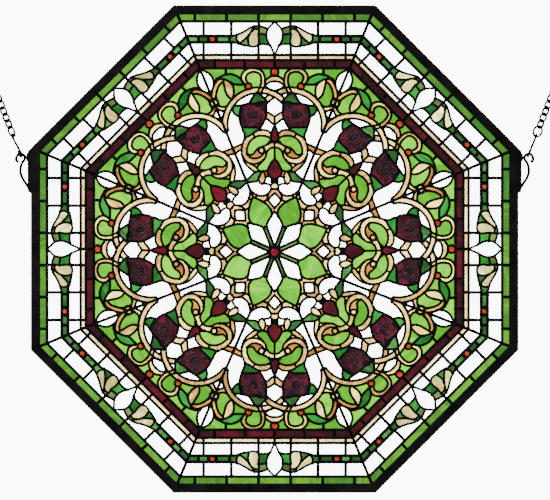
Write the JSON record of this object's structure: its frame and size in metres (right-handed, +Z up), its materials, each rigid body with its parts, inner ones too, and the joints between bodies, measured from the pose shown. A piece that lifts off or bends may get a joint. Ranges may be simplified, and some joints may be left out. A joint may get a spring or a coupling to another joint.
{
  "type": "stained glass window",
  "caption": "Octagonal hanging stained glass panel in a black metal channel, with leaded roses, scrollwork, a central rosette and chains on side hooks.",
  "frame": {"origin": "midway between the two end rings of the chains, at the height where their hooks carry them", "axes": "+Z up, front of the glass towards -Y, +X to the viewer's right"},
  "size_m": [0.7452, 0.0115, 0.635],
  "materials": {
    "black_channel": "black patina",
    "black_lead": "black patina, satin",
    "black_wire": "black, satin",
    "clear_glass": "clear, faintly rippled",
    "white_glass": "white, translucent",
    "border_green_glass": "streaky, translucent",
    "emerald_glass": "deep, translucent",
    "cream_glass": "opalescent",
    "ruby_glass": "dark, translucent",
    "leaf_green_glass": "streaky, translucent",
    "amber_cream_glass": "opalescent",
    "rose_ruby_glass": "dark, translucent",
    "red_jewel_glass": "domed jewel"
  },
  "bodies": {
    "root": {"background": "leaf_green_glass", "centre_jewel": "red_jewel_glass", "chain_left": "black_wire", "chain_right": "black_wire", "clear_field": "clear_glass", "cream_band": "cream_glass", "edge_glass": "border_green_glass", "frame": "black_channel", "hanger_left": "black_wire", "hanger_right": "black_wire", "heart_01": "clear_glass", "heart_02": "clear_glass", "heart_03": "clear_glass", "heart_04": "clear_glass", "heart_05": "clear_glass", "heart_06": "clear_glass", "heart_07": "clear_glass", "heart_08": "clear_glass", "hook_left": "black_wire", "hook_right": "black_wire", "inner_tiles": "clear_glass", "knot_01": "leaf_green_glass", "knot_02": "leaf_green_glass", "knot_03": "leaf_green_glass", "knot_04": "leaf_green_glass", "knot_05": "leaf_green_glass", "knot_06": "leaf_green_glass", "knot_07": "leaf_green_glass", "knot_08": "leaf_green_glass", "leading": "black_lead", "leaf_star": "leaf_green_glass", "outer_tiles": "clear_glass", "petal_01": "white_glass", "petal_02": "white_glass", "petal_03": "white_glass", "petal_04": "white_glass", "petal_05": "white_glass", "petal_06": "white_glass", "petal_07": "white_glass", "petal_08": "white_glass", "rose_01": "rose_ruby_glass", "rose_02": "rose_ruby_glass", "rose_03": "rose_ruby_glass", "rose_04": "rose_ruby_glass", "rose_05": "rose_ruby_glass", "rose_06": "rose_ruby_glass", "rose_07": "rose_ruby_glass", "rose_08": "rose_ruby_glass", "rose_09": "rose_ruby_glass", "rose_10": "rose_ruby_glass", "rose_11": "rose_ruby_glass", "rose_12": "rose_ruby_glass", "rose_13": "rose_ruby_glass", "rose_14": "rose_ruby_glass", "rose_15": "rose_ruby_glass", "rose_16": "rose_ruby_glass", "rosette_border": "amber_cream_glass", "ruby_band": "ruby_glass", "stem_band": "emerald_glass", "strapwork": "amber_cream_glass"}
  },
  "joints": []
}
